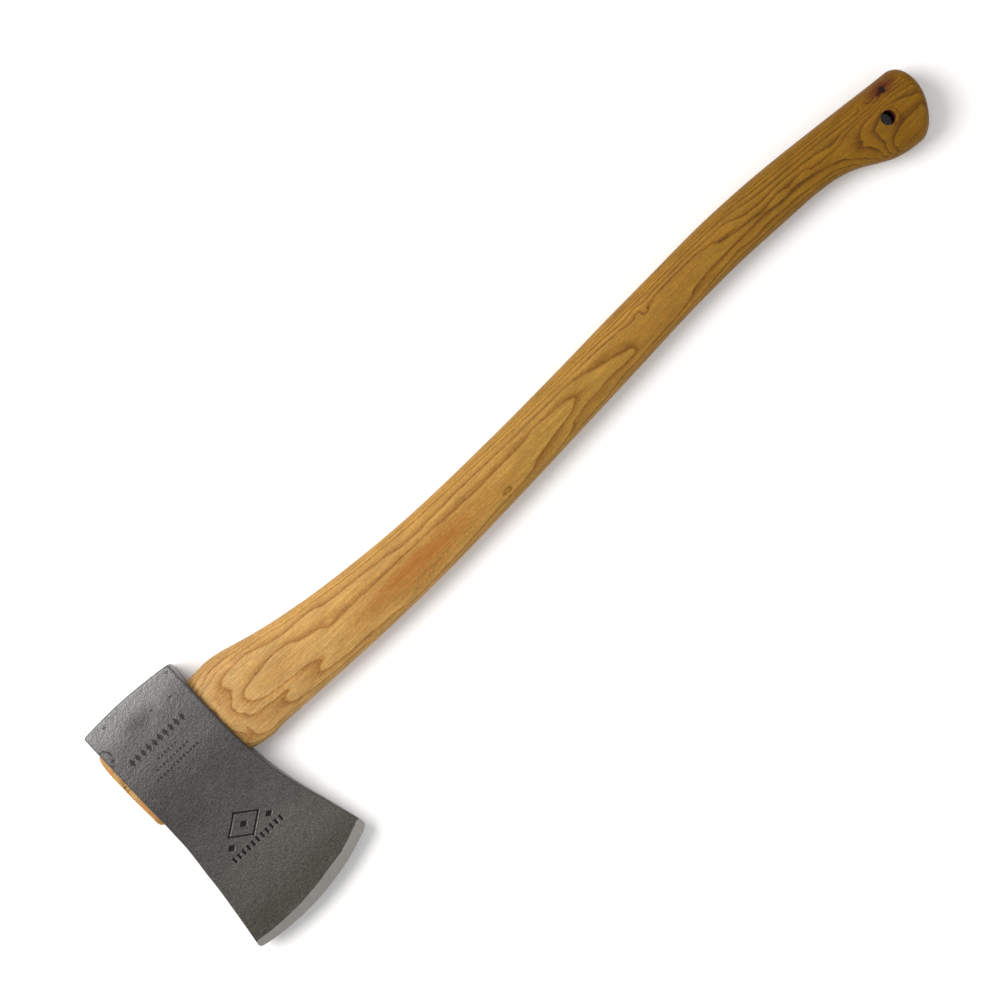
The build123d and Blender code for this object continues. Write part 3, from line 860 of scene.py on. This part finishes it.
def corner(side, radius):
    """The circle that rounds an end of the edge: its centre, and where it meets the side and the arc."""
    width = toe_at if side < 0 else heel_at
    y = -100.0
    for _ in range(60):
        x = side * width(y)
        lean = side * (width(y + 1) - width(y - 1)) / 2
        inward = np.array([-side, side * lean]) / hypot(1, lean)
        centre = np.array([x, y]) + inward * radius
        reach = ARC_R - radius - hypot(centre[0] - ARC_X, centre[1] - ARC_Y)
        y -= reach * 0.8
    out = (centre - np.array([ARC_X, ARC_Y])) / hypot(*(centre - np.array([ARC_X, ARC_Y])))
    return centre, centre - inward * radius, centre + out * radius


toe_corner, heel_corner = corner(-1, TOE_R), corner(1, HEEL_R)


def side_x(side, y):
    """How far the plan's side stands from the eye's centre at y, rounded at the end of the edge."""
    toe = side < 0
    width, (centre, start, _), radius = (toe_at, toe_corner, TOE_R) if toe else (heel_at, heel_corner, HEEL_R)
    y = np.asarray(y, float)
    round_part = centre[0] + side * np.sqrt(np.clip(radius**2 - (y - centre[1]) ** 2, 0, None))
    return np.where(y < start[1], round_part, side * width(y))


def blank_half(x, y, face):
    """Half thickness of the forged blank, uneven as the hammer left it."""
    half = half_at(y) - (x - CROWN_X) ** 2 / (2 * CROWN_R)
    half -= 0.7 * smooth_step(15, 62, x) * smooth_step(-95, -122, y)
    p = np.stack([x, y, np.full_like(x, face * 40.0)], 1)
    uneven = 0.20 * wave(p, (26, 20, 30), 5 + face, 2) + 0.05 * wave(p, (6, 5, 6), 9 + face, 2)
    if face > 0:
        for px, py, size, depth in DENTS:
            uneven -= depth * np.exp(-((x - px) ** 2 + (y - py) ** 2) / size**2)
    return half + uneven * np.clip(half / 6, 0.25, 1)


def bevel_half(x, y):
    return LAND + SLOPE * (ARC_R - np.hypot(x - ARC_X, y - ARC_Y))


def bevel_start(x, face):
    """Where the ground bevel meets the blank, found from the edge upwards in each column."""
    lo, hi = arc_y(x) + 0.5, arc_y(x) + 20.0
    for _ in range(22):
        mid = (lo + hi) / 2
        under = bevel_half(x, mid) < blank_half(x, mid, face)
        lo, hi = np.where(under, mid, lo), np.where(under, hi, mid)
    return (lo + hi) / 2


def make_head():
    share = np.linspace(0, 1, ACROSS)
    left, right = toe_corner[2][0], heel_corner[2][0]
    edge_x = left + share * (right - left)
    ground_from = {face: bevel_start(edge_x, face) for face in (1, -1)}

    def column_points(level, ground_level, face):
        """x and y of each column at a level of the blank, or of the bevel under it."""
        y = np.zeros(ACROSS)
        for _ in range(14):
            lo, hi = side_x(-1, y), side_x(1, y)
            x = lo + share * (hi - lo)
            under = np.interp(x, edge_x, ground_from[face])
            if ground_level is None:
                y = poll_y(x) + level * (under - poll_y(x))
            else:
                y = under + ground_level * (arc_y(np.clip(x, left, right)) - under)
        return x, y

    def half_loop(level, ground_level, face):
        """One cheek from toe to heel, which stops short of the walls by the radius of its two arrises."""
        x, y = column_points(level, ground_level, face)
        z = blank_half(x, y, face)
        if ground_level is not None:
            z = np.maximum(np.minimum(z, bevel_half(x, y)), LAND / 2)
        arris = min(ARRIS, 0.45 * min(z[0], z[-1]))
        x = x[0] + arris + share * (x[-1] - x[0] - 2 * arris)
        turns = np.linspace(0, pi / 2, ROUND_STEPS + 1)[1:]
        toe_round, heel_round = (
            [(x[at] + side * arris * sin(a), y[at], face * (z[at] - arris * (1 - cos(a)))) for a in angles]
            for at, side, angles in ((0, -1, turns[::-1]), (-1, 1, turns))
        )
        return np.concatenate([toe_round, np.stack([x, y, face * z], 1), heel_round])

    def loop_at(level, ground_level=None):
        """Upper cheek, heel wall, lower cheek backwards, toe wall."""
        upper, lower = (half_loop(level, ground_level, face) for face in (1, -1))
        wall = np.linspace(0, 1, WALLS + 2)[1:-1, None]
        heel_wall = upper[-1] + wall * (lower[-1] - upper[-1])
        toe_wall = lower[0] + wall * (upper[0] - lower[0])
        return np.concatenate([upper, heel_wall, lower[::-1], toe_wall])

    rim = loop_at(POLL_ROUND / HEAD_LONG)
    deep = abs(rim[ACROSS // 2, 2])

    def drawn_in(inset, above):
        """The rim of the poll, drawn in towards its middle."""
        x = rim[:, 0] * (POLL_WIDE - inset) / POLL_WIDE
        z = rim[:, 2] * max(deep - inset, 0.0) / deep
        return np.stack([x, poll_y(x) - above, z], 1)

    # the poll from its middle outwards, its rounded rim, the blank, the ground bevels
    loops = [drawn_in(inset, 0.0) for inset in (13.1, 12.2, 11.2, 10, 9, 8, 7, 6, 5, 4, 3.2, 2.4)]
    for angle in np.linspace(pi / 2, 0, 7)[:-1]:
        loops.append(drawn_in(POLL_ROUND * (1 - cos(angle)), POLL_ROUND * (1 - sin(angle))))
    loops += [loop_at(level) for level in np.linspace(POLL_ROUND / HEAD_LONG, 1, 178)]
    blank_loops = len(loops)
    loops += [loop_at(1.0, ground_level) for ground_level in (0.08, 0.25, 0.45, 0.65, 0.85, 1.0)]
    points = np.concatenate(loops)
    # the walls and the poll are uneven too
    x, y, z = points.T
    side = np.where(x < 0, side_x(-1, y), side_x(1, y))
    on_wall = (np.abs(z) < half_at(y) - 1.2) & (np.abs(x - side) < 1.5)
    x += 0.18 * wave(points, (20, 20, 14), 21, 2) * on_wall * smooth_step(-120, -90, y)
    y += smooth_step(48.5, 50.5, y) * 0.16 * wave(points, (16, 20, 12), 23, 2)
    # close the edge: its two lands are zipped together, and a face closes each of its ends and the poll
    count, cheek = len(rim), ACROSS + 2 * ROUND_STEPS
    edge = list(range((len(loops) - 1) * count, len(loops) * count))
    upper, heel_wall = edge[:cheek], edge[cheek:cheek + WALLS]
    lower, toe_wall = edge[cheek + WALLS:2 * cheek + WALLS][::-1], edge[2 * cheek + WALLS:][::-1]
    closing = [(upper[i], upper[i + 1], lower[i + 1], lower[i]) for i in range(cheek - 1)]
    closing += [(upper[-1], *heel_wall, lower[-1]), (upper[0], *toe_wall, lower[0])]
    faces = loops_to_faces(len(loops), count) + closing + [tuple(range(count))]
    ground_rows = np.arange(1, len(loops)) >= blank_loops
    face_material = np.concatenate([np.repeat(ground_rows, count), np.ones(len(closing)), [0]])
    return mesh_object("head_steel", points, faces, [forged, ground, stamped, painted_highlight_rim], face_material)


head = make_head()


def eye_cutter():
    """The eye follows the tongue, and opens at both ends."""
    turn = even_turns(96)
    loops = []
    for x, flare in (
        (-46, 1.6), (-38.6, 1.3), (-37.4, 0.5), (-36.4, 0.1), (-20, 0.1), (2, 0.1), (24, 0.1), (35.6, 0.1),
        (36.8, 0.4), (38.4, 0.9), (46, 1.4),
    ):
        y, z = section_at(eye_section(x), turn, flare)
        loops.append(np.stack([np.full(len(turn), float(x)), y, z], 1))
    return mesh_object("eye_cutter", np.concatenate(loops), capped_faces(len(loops), len(turn)), [forged])


cut(head, eye_cutter())

# ---------------------------------------------------------------- plain stamp
STAMP_X, STAMP_Y, STAMP_DEPTH = 0.4, -64.0, 0.6
STAMP_LEAN = (9.9 - 7.2) / 20  # of the cheek there, towards the edge
# a shallow step under each figure, whose faces are a painted highlight: its depth and its shift
LIT_RIM_STEP_DEPTH, LIT_RIM_STEP_SHIFT = 0.22, (0.5, -0.6)
LOZENGE_WIDE, LOZENGE_TALL, STROKE = 13.5, 9.6, 1.2
SMALL_WIDE, SMALL_TALL = 3.0, 2.2
BAR_COUNT, BAR_PITCH, BAR_HALF, BAR_FOOT, BAR_TOP = 11, 4.2, 0.85, -15.8, -12.2


def prism(outline, depth, draft, shift=(0.0, 0.0)):
    """A die's raised figure: outline in stamp coordinates, narrower at its foot, sunk into the cheek."""
    outline = np.array(outline, float) + shift
    middle = outline.mean(0)
    middle_x, middle_y = middle + (STAMP_X, STAMP_Y)
    skin = float(blank_half(np.array([middle_x]), np.array([middle_y]), 1)[0])
    spread = np.abs(outline - middle).max()
    points = []
    for height, grow in ((-depth, 0.0), (0.4, draft)):
        for offset in (outline - middle) * (1 + grow / max(spread, 0.8)):
            at_x, at_y = middle + offset
            points.append((STAMP_X + at_x, STAMP_Y + at_y, skin + height + STAMP_LEAN * offset[1]))
    return points, capped_faces(2, len(outline))


def stamp_figures():
    """A lozenge outline with a small one in it and one at each side, over a row of bars."""
    figures = []

    def stroke(a, b):
        along = (b - a) / hypot(*(b - a))
        side = np.array([-along[1], along[0]]) * STROKE / 2
        tip = along * STROKE / 2
        figures.append([a - side - tip, b - side + tip, b + side + tip, a + side - tip])

    def lozenge(u, v, wide, tall):
        return [(u + wide, v), (u, v + tall), (u - wide, v), (u, v - tall)]

    corners = np.array(lozenge(0.0, 0.0, LOZENGE_WIDE, LOZENGE_TALL))
    for i in range(4):
        stroke(corners[i], corners[(i + 1) % 4])
    for u, v in ((0, 0), (-17.0, -6.5), (17.0, -6.5)):
        figures.append(lozenge(u, v, SMALL_WIDE, SMALL_TALL))
    for i in range(BAR_COUNT):
        u = (i - BAR_COUNT // 2) * BAR_PITCH
        left, right = u - BAR_HALF, u + BAR_HALF
        figures.append([(left, BAR_FOOT), (right, BAR_FOOT), (right, BAR_TOP), (left, BAR_TOP)])
    return figures


# each figure is sunk twice: first a shallow step, shifted towards the heel and the edge, whose faces wear a
# painted highlight on the rims that face the light, then the figure itself
for number, figure in enumerate(stamp_figures()):
    lit_rim_step = prism(figure, LIT_RIM_STEP_DEPTH, 0.3, LIT_RIM_STEP_SHIFT)
    cut(head, mesh_object(f"bruise_{number}", *lit_rim_step, [painted_highlight_rim]))
    cut(head, mesh_object(f"stamp_{number}", *prism(figure, STAMP_DEPTH, 0.5), [stamped]))
finish_shading(head, 32)
for polygon in head.data.polygons:
    if polygon.material_index >= 2:  # a struck face
        polygon.use_smooth = False

# ---------------------------------------------------------------- which piece stands for which node
for piece, node, slot in (
    (haft, "haft", "hickory"),
    (head, "axe_head", "forged_steel"),
    (wood_wedge, "wood_wedge", "wedge_wood"),
    (ring_wedge, "ring_wedge", "wedge_steel"),
):
    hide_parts(node)
    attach(piece, "root")

# ---------------------------------------------------------------- floor, light, camera
centre = Vector(to_frame((VIEW_X, VIEW_Y, 0)))


def make_floor():
    bpy.ops.mesh.primitive_plane_add(size=30, location=(0, 0, 0))
    floor = bpy.context.object
    floor.name = "floor"
    n = Nodes("floor")
    n.out(Base_Color=(0.98, 0.98, 0.98, 1), Roughness=0.9)
    floor.data.materials.append(n.material)


def lamp(name, place, size, watts, colour=(1, 1, 1)):
    data = bpy.data.lights.new(name, "AREA")
    data.shape, data.size, data.energy, data.color = "DISK", size, watts, colour
    obj = bpy.data.objects.new(name, data)
    obj.location = centre + Vector(place)
    obj.rotation_euler = (centre - obj.location).to_track_quat("-Z", "Y").to_euler()
    obj.visible_camera = False
    bpy.context.scene.collection.objects.link(obj)


make_floor()
lamp("key", (-0.85, 0.95, 1.5), 1.5, 38, (1.0, 0.98, 0.95))
lamp("fill", (0.9, -1.3, 1.6), 1.6, 4, (0.96, 0.98, 1.0))
world = bpy.data.worlds.new("studio")
bpy.context.scene.world = world
world.use_nodes = True
world.node_tree.nodes["Background"].inputs["Color"].default_value = (1, 1, 1, 1)
world.node_tree.nodes["Background"].inputs["Strength"].default_value = 0.62
bpy.context.scene.view_settings.view_transform = "Standard"

# the photo's camera looks straight down, with the haft's axis turned up across the picture
DISTANCE, VIEW_WIDE, TURN = 3.0, 0.6695, -43.5
camera_data = bpy.data.cameras.new("camera")
camera_data.sensor_width = 36
camera_data.lens = 36 * DISTANCE / VIEW_WIDE
camera = bpy.data.objects.new("camera", camera_data)
camera.location = centre + Vector((0, 0, DISTANCE))
camera.rotation_euler = (0, 0, radians(TURN))
bpy.context.scene.collection.objects.link(camera)
bpy.context.scene.camera = camera
